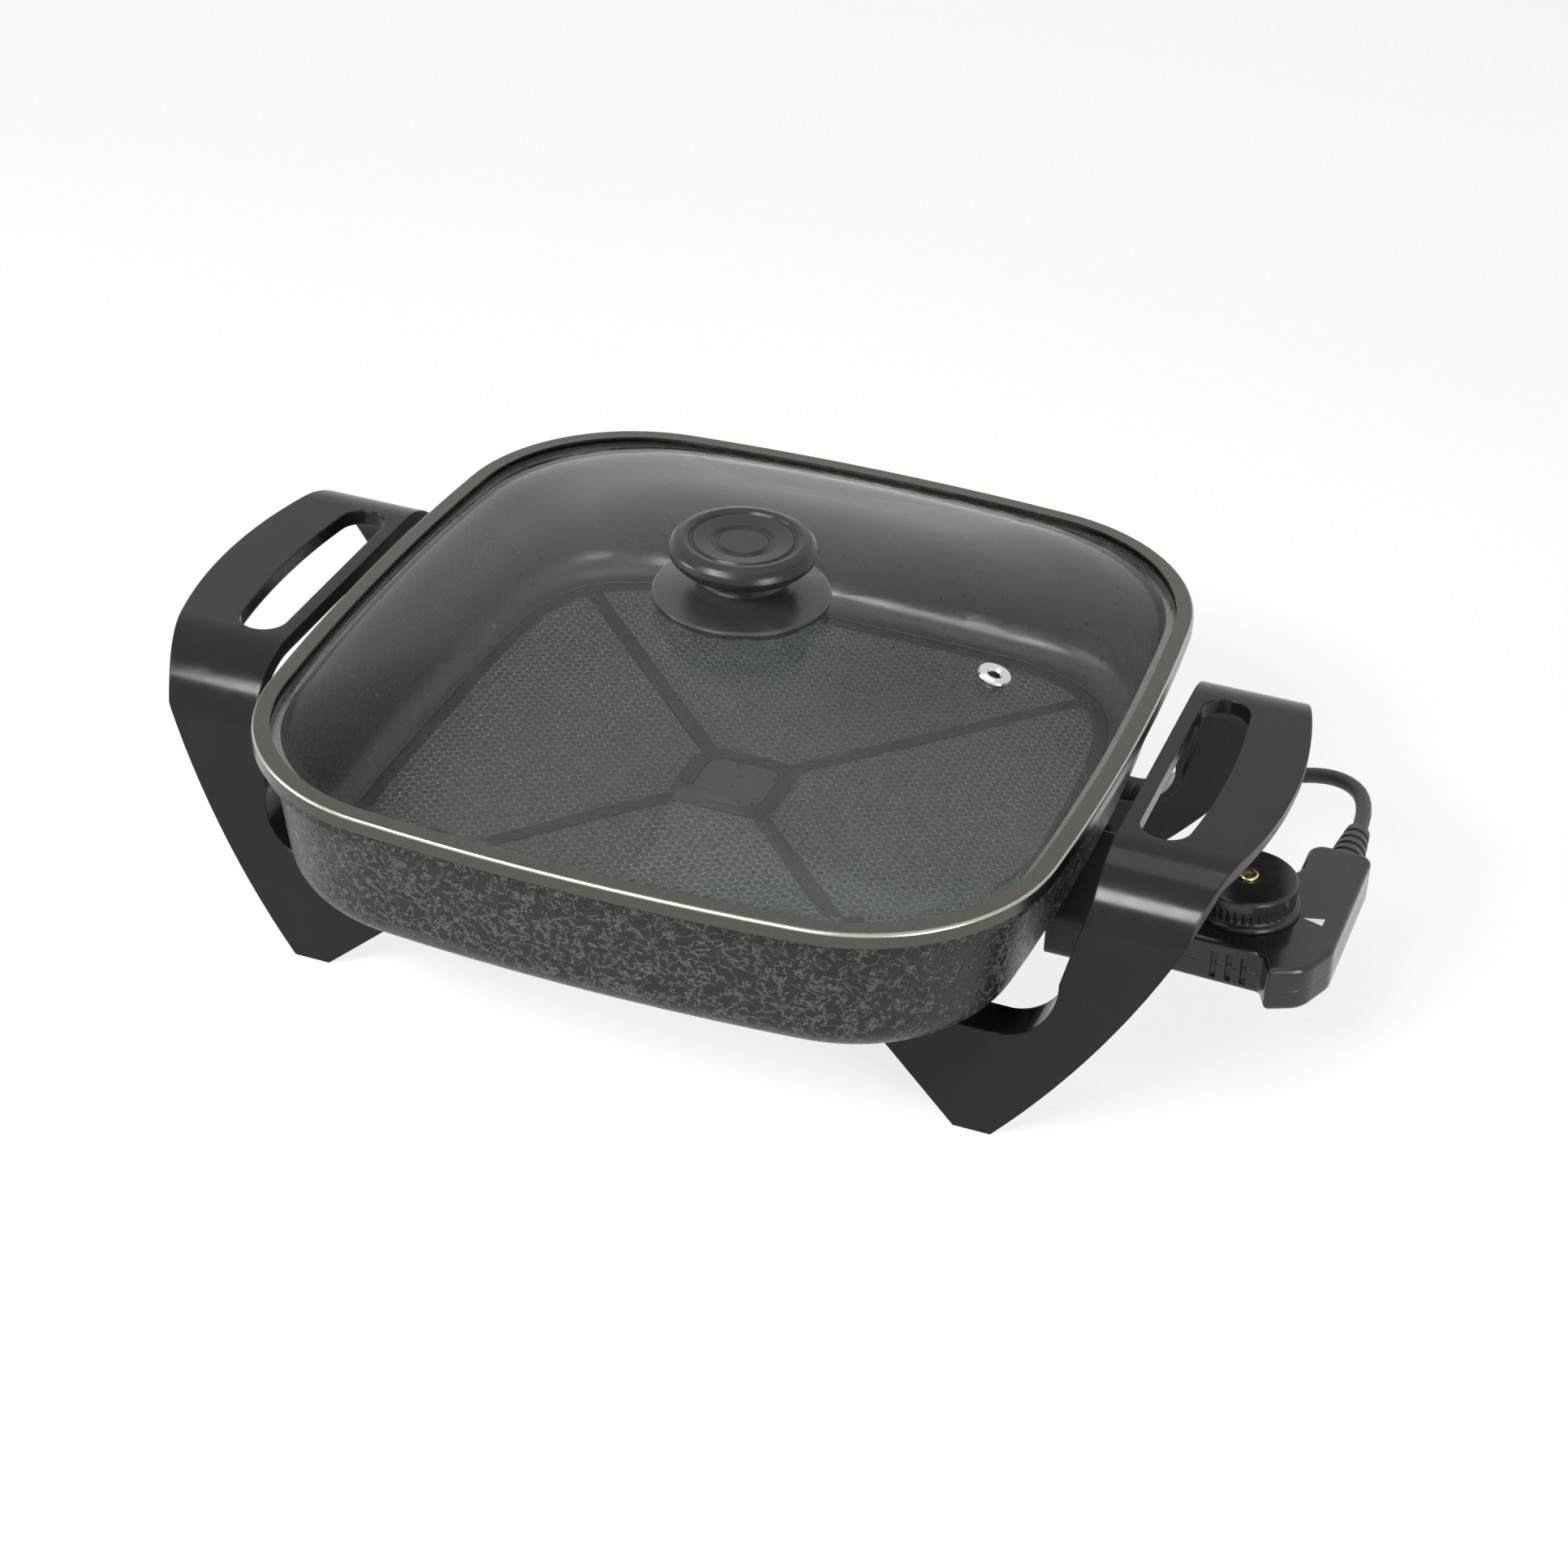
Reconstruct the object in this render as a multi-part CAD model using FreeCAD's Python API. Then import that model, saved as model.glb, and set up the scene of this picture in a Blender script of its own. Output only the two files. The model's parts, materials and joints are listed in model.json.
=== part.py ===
import FreeCAD, Part
import math
import os

# Electric skillet with a lift-off glass lid and a plug-in heat control.
# Millimetres. +Z is up, +X points to the handle with the control, the front is -Y.
# The origin is on the table, midway between the left handle and the end of the control.
# Sizes below are measured from the middle of the pan, and each piece moves by FRAME_X at the end.

V = FreeCAD.Vector

# Pan and lid outline, taken at the outer edge of the lid ring
HALF_WIDTH = 150.0
HALF_DEPTH = 157.5
SIDE_BOW = 11.5
FRONT_BOW = 13.0
CORNER_RADIUS = 74.4

# Pan
RIM_HEIGHT = 103.4
PAN_DEPTH = 50.4
FLOOR_THICKNESS = 4.0
RIM_FLANGE = 4.6
RIM_INSET = 2.2
WALL_INSET = 6.4
WALL_DRAFT = 7.0
WALL_THICKNESS = 3.6
FLOOR_CORNER = 11.0
SEAT_GAP = 0.3
PAN_FLOOR = RIM_HEIGHT - PAN_DEPTH
PAN_UNDERSIDE = PAN_FLOOR - FLOOR_THICKNESS

# Lid
RING_HEIGHT = 5.6
RING_WIDTH = 6.5
RING_SHEET = 1.1
GLASS_THICKNESS = 3.4
DOME_RISE = 24.4
VENT_X = 96.0
VENT_RADIUS = 4.0
VENT_FLANGE = 2.2

# Lid knob
KNOB_HOLE = 3.2
KNOB_STEM = 13.5
SKIRT_RADIUS = 32.4
SKIRT_EDGE = 3.6
SKIRT_NOTCH = 1.4
KNOB_NECK_HEIGHT = 11.1
CAP_RADIUS = 26.9
CAP_HEIGHT = 10.0
CAP_GROOVE_RADIUS = 18.9
CAP_BUTTON_RADIUS = 9.5

# Handles
HANDLE_TOP = RIM_HEIGHT + 1.1
HANDLE_THICKNESS = 6.0
HANDLE_GAP = 7.5
GRIP_REACH = 50.5
FOOT_TUCK = 35.5
LUG_TUCK = 51.5
HANDLE_INNER = HALF_WIDTH + HANDLE_GAP
HANDLE_REACH = HANDLE_INNER + GRIP_REACH
FOOT_INNER = HANDLE_INNER - FOOT_TUCK
LUG_X = HANDLE_INNER - LUG_TUCK
HANDLE_SHOULDER = 74.0
HANDLE_SHOULDER_RADIUS = 30.0
GRIP_BOW = 28.0
FOOT_SPREAD = 97.0
FOOT_WIDTH = 11.5
GRIP_SLOT_WIDTH = 21.0
GRIP_SLOT_LENGTH = 98.0
GRIP_SLOT_CORNER = 9.0
GRIP_SLOT_INSET = 5.5
GRIP_SLOT_BOW = 4.0
LEG_FLANGE_SHEET = 2.6
LEG_FLANGE_DEPTH = 10.0
LEG_FLANGE_TOP = 86.0
LUG_TOP = PAN_UNDERSIDE - 11.5
LUG_DEPTH = 16.0
LUG_HEIGHT = 10.0
LUG_RADIUS = 8.0

# Handle screws
SCREW_RADIUS = 2.4
SCREW_HEAD_RADIUS = 4.6
SCREW_HEAD_HEIGHT = 2.6
SCREW_BITE = 6.5
FIT = 0.05

# Heating element and its terminals
ELEMENT_RADIUS = 4.0
ELEMENT_HALF = HALF_WIDTH - 66.0
ELEMENT_BEND = 26.0
TERMINAL_SPACING = 36.0
PIN_RADIUS = 2.4
PIN_END = HALF_WIDTH + 16.0
INSULATOR_RADIUS = 4.4
GUARD_START = HALF_WIDTH - 19.0
GUARD_LENGTH = 18.5
GUARD_RISE = 1.8
GUARD_WIDTH = 62.0
GUARD_FLOOR = PAN_UNDERSIDE - 17.0
GUARD_SHEET = 1.6

# Heat control
AXIS_HEIGHT = PAN_UNDERSIDE - 5.6
NOSE_GAP = 2.0
CONTROL_LENGTH = 79.8
CONTROL_NOSE = GUARD_START + GUARD_LENGTH + NOSE_GAP
CONTROL_HALF = 26.0
CONTROL_TOP = PAN_UNDERSIDE + 4.0
CONTROL_BOTTOM = PAN_UNDERSIDE - 14.0
CONTROL_SPLIT = PAN_UNDERSIDE - 5.0
CONTROL_END = CONTROL_NOSE + CONTROL_LENGTH
CONTROL_WALL = 2.4
ARM_INNER = CONTROL_END - 23.1
ARM_END = 48.6
GRIP_FRONT = 36.0
PROBE_RADIUS = 4.0
PROBE_TIP = HALF_WIDTH - 76.0
PROBE_BORE_GAP = 0.25
SOCKET_RADIUS = 4.2
SOCKET_LENGTH = 16.0
PROBE_ROOT = 16.0

# Dial
DIAL_X = CONTROL_END - 36.3
DIAL_RADIUS = 18.2
DIAL_BASE_RADIUS = 20.0
DIAL_HEIGHT = 11.6
DIAL_FLUTES = 40
MARK_LENGTH = 7.0
SHAFT_RADIUS = 3.0
DIAL_SCREW_RADIUS = 3.8

# Cord
CORD_RADIUS = 3.0
CORD_X = CONTROL_END - 10.8
RELIEF_LENGTH = 26.0
COIL_RADIUS = 33.5
COIL_PITCH = 6.7
COIL_TURNS_PER_LAYER = 1.5
COIL_CENTRE = (-48.0, HALF_DEPTH + 64.5)
COIL_START = math.radians(260.0)
PLUG_LENGTH = 34.0
PLUG_RADIUS = 9.0
PLUG_PIN_SPACING = 12.7

FRAME_X = (CONTROL_END - HANDLE_REACH) / 2
ELEMENT_HEIGHT = PAN_UNDERSIDE - ELEMENT_RADIUS - SEAT_GAP
RING_TOP = RIM_HEIGHT + RING_HEIGHT
GLASS_EDGE_BOTTOM = RIM_HEIGHT + RING_SHEET
GLASS_EDGE_TOP = GLASS_EDGE_BOTTOM + GLASS_THICKNESS
GLASS_TOP = GLASS_EDGE_TOP + DOME_RISE
GLASS_UNDERSIDE = GLASS_TOP - GLASS_THICKNESS
SKIRT_BOTTOM = GLASS_TOP + 0.2
SKIRT_TOP = SKIRT_BOTTOM + SKIRT_EDGE
CAP_BOTTOM = SKIRT_TOP + KNOB_NECK_HEIGHT
CAP_TOP = CAP_BOTTOM + CAP_HEIGHT
LUG_Y = FOOT_SPREAD - 2 * HANDLE_THICKNESS - SCREW_HEAD_RADIUS - 0.9


def save(name, shape):
    """Write one node."""
    shape = shape.removeSplitter() if shape.ShapeType != "Compound" else shape
    if not shape.isValid():
        print("NOT VALID", name)
    shape = shape.translated(V(-FRAME_X, 0, 0))
    shape.exportStep("parts/%s.step" % name)
    print("%-20s solids %d volume %.0f" % (name, len(shape.Solids), shape.Volume))
    return shape


def arc(start, middle, end):
    return Part.Arc(start, middle, end).toShape()


def cylinder(radius, low, high, x=0.0, y=0.0):
    return Part.makeCylinder(radius, high - low, V(x, y, low))


def rod_x(radius, start, end, y=0.0, z=0.0):
    return Part.makeCylinder(radius, end - start, V(start, y, z), V(1, 0, 0))


def revolve(points, x=0.0, y=0.0):
    """Turn a closed outline of (radius, height) points about a vertical axis."""
    corners = [V(x + r, y, z) for r, z in points]
    face = Part.Face(Part.makePolygon(corners + corners[:1]))
    return face.revolve(V(x, y, 0), V(0, 0, 1), 360)


def outline(half_x, half_y, bow_x, bow_y, corner, height, inset=0.0):
    """A rounded square of eight tangent arcs: four bowed sides and four corners."""
    side = (half_y ** 2 + bow_x ** 2) / (2 * bow_x)
    front = (half_x ** 2 + bow_y ** 2) / (2 * bow_y)
    side_x = half_x - side
    front_y = half_y - front
    span = math.hypot(side_x, front_y)
    reach_a = side - corner
    reach_b = front - corner
    along = (reach_a ** 2 - reach_b ** 2 + span ** 2) / (2 * span)
    across = math.sqrt(reach_a ** 2 - along ** 2)
    ux, uy = -side_x / span, front_y / span
    cx = side_x + along * ux - across * uy
    cy = along * uy + across * ux
    if cx < 0 or cy < 0:
        cx = side_x + along * ux + across * uy
        cy = along * uy - across * ux
    turn_a = math.atan2(cy, cx - side_x)
    turn_b = math.atan2(cy - front_y, cx)

    def on(px, py, radius, angle):
        return (px + (radius - inset) * math.cos(angle), py + (radius - inset) * math.sin(angle))

    quarter = [
        on(side_x, 0, side, 0),
        on(side_x, 0, side, turn_a),
        on(cx, cy, corner, (turn_a + turn_b) / 2),
        on(cx, cy, corner, turn_b),
        on(0, front_y, front, math.pi / 2),
    ]
    right, end_a, mid, end_b, back = quarter

    def at(p, sx=1, sy=1):
        return V(sx * p[0], sy * p[1], height)

    edges = [
        arc(at(end_a, 1, -1), at(right), at(end_a)),
        arc(at(end_a), at(mid), at(end_b)),
        arc(at(end_b), at(back), at(end_b, -1)),
        arc(at(end_b, -1), at(mid, -1), at(end_a, -1)),
        arc(at(end_a, -1), at(right, -1), at(end_a, -1, -1)),
        arc(at(end_a, -1, -1), at(mid, -1, -1), at(end_b, -1, -1)),
        arc(at(end_b, -1, -1), at(back, 1, -1), at(end_b, 1, -1)),
        arc(at(end_b, 1, -1), at(mid, 1, -1), at(end_a, 1, -1)),
    ]
    return Part.Wire(edges)


def body_outline(height, inset=0.0):
    return outline(HALF_WIDTH, HALF_DEPTH, SIDE_BOW, FRONT_BOW, CORNER_RADIUS, height, inset)


def prism(low, high, inset):
    face = Part.Face(body_outline(low, inset))
    return face.extrude(V(0, 0, high - low))


def tapered(low, high, inset_low, inset_high):
    return Part.makeLoft([body_outline(low, inset_low), body_outline(high, inset_high)], True, True)


def edges_at(shape, height, tolerance=1e-3):
    """Edges that lie flat at one height."""
    return [e for e in shape.Edges
            if abs(e.BoundBox.ZMin - height) < tolerance and abs(e.BoundBox.ZMax - height) < tolerance]


def make_pan():
    """Cast pan: drafted walls, rounded floor, rim flange, probe boss and four screw bosses."""
    outer_corner = FLOOR_CORNER + WALL_THICKNESS
    outer = tapered(PAN_UNDERSIDE, RIM_HEIGHT - RIM_FLANGE, WALL_INSET + WALL_DRAFT, WALL_INSET)
    outer = outer.makeFillet(outer_corner, edges_at(outer, PAN_UNDERSIDE))
    flange = prism(RIM_HEIGHT - RIM_FLANGE, RIM_HEIGHT, RIM_INSET)
    inner_inset = WALL_INSET + WALL_THICKNESS
    cavity = tapered(PAN_FLOOR, RIM_HEIGHT, inner_inset + WALL_DRAFT, inner_inset)
    cavity = cavity.makeFillet(FLOOR_CORNER, edges_at(cavity, PAN_FLOOR))
    pan = outer.fuse(flange).cut(cavity)
    boss_half = PROBE_RADIUS + 5.0
    boss_low = AXIS_HEIGHT - boss_half
    boss = Part.makeBox(44, 2 * boss_half, PAN_UNDERSIDE + 1 - boss_low, V(PROBE_TIP - 4, -boss_half, boss_low))
    bore = rod_x(PROBE_RADIUS + PROBE_BORE_GAP, PROBE_TIP - 1, PROBE_TIP + 60, 0, AXIS_HEIGHT)
    pan = pan.fuse(boss).cut(bore)
    for sx in (1, -1):
        for sy in (1, -1):
            pan = pan.fuse(cylinder(SCREW_HEAD_RADIUS + 1, LUG_TOP, PAN_UNDERSIDE + 2, sx * LUG_X, sy * LUG_Y))
            pan = pan.cut(cylinder(SCREW_RADIUS + FIT, LUG_TOP - 1, LUG_TOP + SCREW_BITE + 1,
                                   sx * LUG_X, sy * LUG_Y))
    return pan


def make_element():
    """Tubular heater bent in a rounded loop under the floor, open towards the terminals."""
    h, r, z = ELEMENT_HALF, ELEMENT_BEND, ELEMENT_HEIGHT
    gap = TERMINAL_SPACING / 2
    k = r * (1 - math.sqrt(0.5))
    end = GUARD_START + 6
    edges = []

    def line(a, b):
        edges.append(Part.LineSegment(V(a[0], a[1], z), V(b[0], b[1], z)).toShape())

    def bend(a, m, b):
        edges.append(arc(V(a[0], a[1], z), V(m[0], m[1], z), V(b[0], b[1], z)))

    t = ELEMENT_RADIUS * 3
    kt = t * (1 - math.sqrt(0.5))
    line((end, -gap), (h + t, -gap))
    bend((h + t, -gap), (h + kt, -gap - kt), (h, -gap - t))
    line((h, -gap - t), (h, -h + r))
    bend((h, -h + r), (h - k, -h + k), (h - r, -h))
    line((h - r, -h), (-h + r, -h))
    bend((-h + r, -h), (-h + k, -h + k), (-h, -h + r))
    line((-h, -h + r), (-h, h - r))
    bend((-h, h - r), (-h + k, h - k), (-h + r, h))
    line((-h + r, h), (h - r, h))
    bend((h - r, h), (h - k, h - k), (h, h - r))
    line((h, h - r), (h, gap + t))
    bend((h, gap + t), (h + kt, gap + kt), (h + t, gap))
    line((h + t, gap), (end, gap))
    ring = Part.Wire(Part.makeCircle(ELEMENT_RADIUS, V(end, -gap, z), V(1, 0, 0)))
    return Part.Wire(edges).makePipeShell([ring], True, False)


def guard_plate_x():
    return GUARD_START + 6


def make_insulators():
    """Ceramic sleeves between the heater sheath and the pins."""
    x = guard_plate_x()
    shapes = []
    for s in (1, -1):
        y = s * TERMINAL_SPACING / 2
        sleeve = rod_x(INSULATOR_RADIUS, x, x + 7, y, ELEMENT_HEIGHT)
        shapes.append(sleeve.cut(rod_x(PIN_RADIUS, x, x + 7, y, ELEMENT_HEIGHT)))
    return Part.makeCompound(shapes)


def make_pins():
    """Two terminal pins with rounded tips."""
    shapes = []
    for s in (1, -1):
        pin = rod_x(PIN_RADIUS, guard_plate_x(), PIN_END, s * TERMINAL_SPACING / 2, ELEMENT_HEIGHT)
        tip = [e for e in pin.Edges if e.BoundBox.XMin > PIN_END - 0.01]
        shapes.append(pin.makeFillet(PIN_RADIUS * 0.8, tip))
    return Part.makeCompound(shapes)


def make_guard():
    """Open-ended shroud round the terminals, with holes for the sleeves and the probe."""
    low, high = GUARD_FLOOR, PAN_UNDERSIDE + GUARD_RISE
    half = GUARD_WIDTH / 2
    start = GUARD_START
    s = GUARD_SHEET
    shell = Part.makeBox(GUARD_LENGTH, 2 * half, high - low, V(start, -half, low))
    uprights = [e for e in shell.Edges if e.BoundBox.XLength > GUARD_LENGTH - 0.1]
    shell = shell.makeFillet(4.0, uprights)
    hollow = Part.makeBox(GUARD_LENGTH, 2 * (half - s), high - low - 2 * s, V(start + s, -half + s, low + s))
    inner = [e for e in hollow.Edges if e.BoundBox.XLength > GUARD_LENGTH - 0.1]
    shell = shell.cut(hollow.makeFillet(4.0 - s, inner))
    for sign in (1, -1):
        y = sign * TERMINAL_SPACING / 2
        shell = shell.cut(rod_x(ELEMENT_RADIUS + SEAT_GAP, start - 1, start + s + 1, y, ELEMENT_HEIGHT))
    return shell.cut(rod_x(PROBE_RADIUS + 1.0, start - 1, start + s + 1, 0, AXIS_HEIGHT))


def handle_band(t):
    """Arched strip in the Y-Z plane, run along X: a flat grip and two splayed legs."""
    top, foot, shoulder = HANDLE_TOP, FOOT_SPREAD, HANDLE_SHOULDER
    lean = (foot - shoulder) / top
    inner_foot = foot - t * math.sqrt(1 + lean ** 2)
    inner_shoulder = inner_foot - lean * (top - t)
    points = [(-foot, 0), (-shoulder, top), (shoulder, top), (foot, 0),
              (inner_foot, 0), (inner_shoulder, top - t), (-inner_shoulder, top - t), (-inner_foot, 0)]
    start = LUG_X - LUG_RADIUS - 14
    corners = [V(start, y, z) for y, z in points]
    band = Part.Face(Part.makePolygon(corners + corners[:1])).extrude(V(HANDLE_REACH + 10 - start, 0, 0))
    outer = [e for e in band.Edges if e.BoundBox.XLength > 50 and e.BoundBox.ZMin > top - 0.1]
    band = band.makeFillet(HANDLE_SHOULDER_RADIUS, outer)
    low = top - t
    inner = [e for e in band.Edges
             if e.BoundBox.XLength > 50 and abs(e.BoundBox.ZMin - low) < 0.1 and e.BoundBox.ZLength < 0.1]
    return band.makeFillet(HANDLE_SHOULDER_RADIUS - t, inner)


def leg_shape():
    """Side outline of the handle in the X-Z plane, run through the whole depth."""
    y = -FOOT_SPREAD - 5
    foot_outer = FOOT_INNER + FOOT_WIDTH

    def p(x, z):
        return V(x, y, z)

    top = HANDLE_TOP + 5
    tuck = HANDLE_INNER - 7.0
    lug_end = LUG_X - LUG_RADIUS - 12
    edges = [
        Part.LineSegment(p(FOOT_INNER, -1), p(foot_outer, -1)).toShape(),
        arc(p(foot_outer, -1), p(HANDLE_REACH - 37, 46), p(HANDLE_REACH - 10, 98)),
        Part.LineSegment(p(HANDLE_REACH - 10, 98), p(HANDLE_REACH + 6, HANDLE_TOP - 2)).toShape(),
        Part.LineSegment(p(HANDLE_REACH + 6, HANDLE_TOP - 2), p(HANDLE_REACH + 6, top)).toShape(),
        Part.LineSegment(p(HANDLE_REACH + 6, top), p(HANDLE_INNER, top)).toShape(),
        Part.LineSegment(p(HANDLE_INNER, top), p(HANDLE_INNER, HANDLE_TOP - 12)).toShape(),
        Part.LineSegment(p(HANDLE_INNER, HANDLE_TOP - 12), p(tuck, 60)).toShape(),
        arc(p(tuck, 60), p(tuck - 4.5, 44.5), p(tuck - 18, LUG_TOP)),
        Part.LineSegment(p(tuck - 18, LUG_TOP), p(lug_end + 4, LUG_TOP)).toShape(),
        arc(p(lug_end + 4, LUG_TOP), p(lug_end, LUG_TOP - 5), p(lug_end + 2, LUG_TOP - 10)),
        Part.LineSegment(p(lug_end + 2, LUG_TOP - 10), p(FOOT_INNER, -1)).toShape(),
    ]
    return Part.Face(Part.Wire(edges)).extrude(V(0, 2 * FOOT_SPREAD + 10, 0))


def plan_shape():
    """Plan outline of the grip: a bowed outer edge with rounded ends."""
    low = -5.0
    start = LUG_X - LUG_RADIUS - 20
    wide = FOOT_SPREAD + 5
    reach = HANDLE_REACH
    side = reach - GRIP_BOW
    edges = [
        Part.LineSegment(V(start, wide, low), V(start, -wide, low)).toShape(),
        Part.LineSegment(V(start, -wide, low), V(side, -wide, low)).toShape(),
        arc(V(side, -wide, low), V(reach, 0, low), V(side, wide, low)),
        Part.LineSegment(V(side, wide, low), V(start, wide, low)).toShape(),
    ]
    return Part.Face(Part.Wire(edges)).extrude(V(0, 0, HANDLE_TOP + 20))


def grip_slot():
    """Finger slot: straight beside the pan, bowed on the outside."""
    x0 = HANDLE_INNER + GRIP_SLOT_INSET
    x1 = x0 + GRIP_SLOT_WIDTH
    half, low = GRIP_SLOT_LENGTH / 2, HANDLE_TOP - 2 * HANDLE_SHOULDER_RADIUS
    edges = [
        Part.LineSegment(V(x0, half, low), V(x0, -half, low)).toShape(),
        Part.LineSegment(V(x0, -half, low), V(x1 - GRIP_SLOT_BOW, -half, low)).toShape(),
        arc(V(x1 - GRIP_SLOT_BOW, -half, low), V(x1, 0, low), V(x1 - GRIP_SLOT_BOW, half, low)),
        Part.LineSegment(V(x1 - GRIP_SLOT_BOW, half, low), V(x0, half, low)).toShape(),
    ]
    slot = Part.Face(Part.Wire(edges)).extrude(V(0, 0, HANDLE_TOP + 5 - low))
    return slot.makeFillet(GRIP_SLOT_CORNER, [e for e in slot.Edges if e.BoundBox.ZLength > 29])


def leg_flange():
    """Inward flange that follows the leg's inner edge round under the pan."""
    strip = handle_band(HANDLE_THICKNESS + LEG_FLANGE_DEPTH).common(leg_shape()).common(plan_shape())
    core = leg_shape()
    core.translate(V(LEG_FLANGE_SHEET, 0, -0.7 * LEG_FLANGE_SHEET))
    above = Part.makeBox(200, 4 * FOOT_SPREAD, 60, V(FOOT_INNER - 60, -2 * FOOT_SPREAD, LEG_FLANGE_TOP))
    return strip.cut(core).cut(above)


def make_right_handle():
    """Moulded handle that is also the two feet on its side, screwed up into the pan's bosses."""
    handle = handle_band(HANDLE_THICKNESS).common(leg_shape()).common(plan_shape()).cut(grip_slot())
    handle = handle.fuse(leg_flange())
    for s in (1, -1):
        lug = Part.makeBox(LUG_RADIUS + 12, LUG_DEPTH, LUG_HEIGHT,
                           V(LUG_X - LUG_RADIUS, s * LUG_Y - LUG_DEPTH / 2, LUG_TOP - LUG_HEIGHT))
        handle = handle.fuse(lug)
        handle = handle.cut(cylinder(SCREW_RADIUS + FIT, LUG_TOP - LUG_HEIGHT - 1, LUG_TOP + 1, LUG_X, s * LUG_Y))
    return handle


def make_handle_screws():
    """Pan-head screws up through the lugs into the bosses."""
    shapes = []
    low = LUG_TOP - LUG_HEIGHT
    for sx in (1, -1):
        for sy in (1, -1):
            shank = cylinder(SCREW_RADIUS, low, LUG_TOP + SCREW_BITE, sx * LUG_X, sy * LUG_Y)
            head = cylinder(SCREW_HEAD_RADIUS, low - SCREW_HEAD_HEIGHT, low, sx * LUG_X, sy * LUG_Y)
            shapes.append(shank.fuse(head))
    return Part.makeCompound(shapes)


def dome_section(share, height):
    """Lid glass outline at a share of its size; it grows rounder towards the middle."""
    inset = RING_SHEET + SEAT_GAP
    rounder = 1 - share
    half_x = (HALF_WIDTH - inset) * share
    half_y = (HALF_DEPTH - inset) * share
    bow = share * (FRONT_BOW + 45 * rounder)
    corner = share * (CORNER_RADIUS + 40 * rounder)
    return outline(half_x, half_y, bow, bow, corner, height)


def dome_solid(drop):
    """Closed dome: it rises from the edge band and flattens under the knob."""
    edge = GLASS_EDGE_TOP - drop
    flat, foot = 0.12, 0.955
    sections = [dome_section(foot, edge - 0.6)]
    for share in (0.93, 0.8, 0.64, 0.46, 0.28, flat):
        fall = (share - flat) / (foot - flat)
        sections.append(dome_section(share, edge + DOME_RISE * (1 - fall ** 2.1)))
    return Part.makeLoft(sections, True, False)


def make_glass():
    """Tempered glass dome with a flat edge and a knob hole."""
    inset = RING_SHEET + SEAT_GAP
    edge = prism(GLASS_EDGE_BOTTOM, GLASS_EDGE_TOP, inset)
    top = dome_solid(0)
    cap = cylinder(SKIRT_RADIUS, GLASS_TOP - 3.0, GLASS_TOP)
    hollow = dome_solid(GLASS_THICKNESS)
    base = Part.makeBox(400, 400, 40, V(-200, -200, GLASS_EDGE_BOTTOM - 40))
    solid = edge.fuse(top).fuse(cap)
    solid = solid.cut(hollow).cut(base)
    return solid.cut(cylinder(KNOB_HOLE, 90, 160))


def vent_place(glass):
    """Where the vent sits on the glass, and how it leans with the slope."""
    reach = VENT_RADIUS + VENT_FLANGE
    inner = glass_height(glass, VENT_X - reach, 0)
    outer = glass_height(glass, VENT_X + reach, 0)
    lean = math.degrees(math.atan2(inner - outer, 2 * reach))
    height = max((inner + outer) / 2, glass_height(glass, VENT_X, 0))
    return FreeCAD.Placement(V(VENT_X, 0, height), FreeCAD.Rotation(V(0, 1, 0), lean))


def cut_vent(glass, place):
    hole = Part.makeCylinder(VENT_RADIUS, 40, V(0, 0, -20))
    hole.Placement = place
    return glass.cut(hole)


def make_ring():
    """Rolled steel band that holds the glass by its edge."""
    ring = prism(RIM_HEIGHT, RING_TOP, 0)
    ring = ring.makeFillet(1.5, edges_at(ring, RING_TOP))
    groove = prism(GLASS_EDGE_BOTTOM, RING_TOP - RING_SHEET, RING_SHEET)
    hole = prism(RIM_HEIGHT - 1, RING_TOP + 1, RING_WIDTH)
    return ring.cut(groove).cut(hole)


def glass_height(shape, x, y):
    """Top of the glass above one place."""
    probe = Part.makeLine(V(x, y, 80), V(x, y, 170))
    return max(v.Z for v in shape.common(probe).Vertexes)


def make_eyelet(place):
    """Steel steam vent set in the glass: a short sleeve with a rolled rim."""
    r, wide = VENT_RADIUS - SEAT_GAP, VENT_RADIUS + VENT_FLANGE
    low = -GLASS_THICKNESS - 1.6
    bore = r - 1.4
    points = [(bore, low), (r, low), (r, 0.15), (wide - 0.5, 0.15), (wide, 0.6), (wide - 0.3, 1.4),
              (wide - 1.6, 1.9), (bore + 0.8, 1.5), (bore, 0.6)]
    eyelet = revolve(points)
    eyelet.Placement = place
    return eyelet


def make_skirt():
    """Bell-shaped guard under the knob, its lower edge notched to let steam out."""
    r, b, t = SKIRT_RADIUS, SKIRT_BOTTOM, SKIRT_TOP
    neck = CAP_BOTTOM
    s = KNOB_STEM
    points = [(KNOB_HOLE + FIT, b), (r - 1.6, b), (r - 0.6, b + 0.6), (r, t - 0.6), (r - 0.8, t), (r - 8, t + 2.0),
              (s + 6, t + 3.4), (s + 2.5, t + 5.0), (s + 0.5, t + 7.6), (s, neck), (KNOB_HOLE + FIT, neck)]
    skirt = revolve(points)
    for i in range(8):
        notch = Part.makeBox(6, 7, SKIRT_NOTCH, V(r - 4, -3.5, b))
        notch.rotate(V(0, 0, 0), V(0, 0, 1), 22.5 + 45 * i)
        skirt = skirt.cut(notch)
    return skirt


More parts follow.
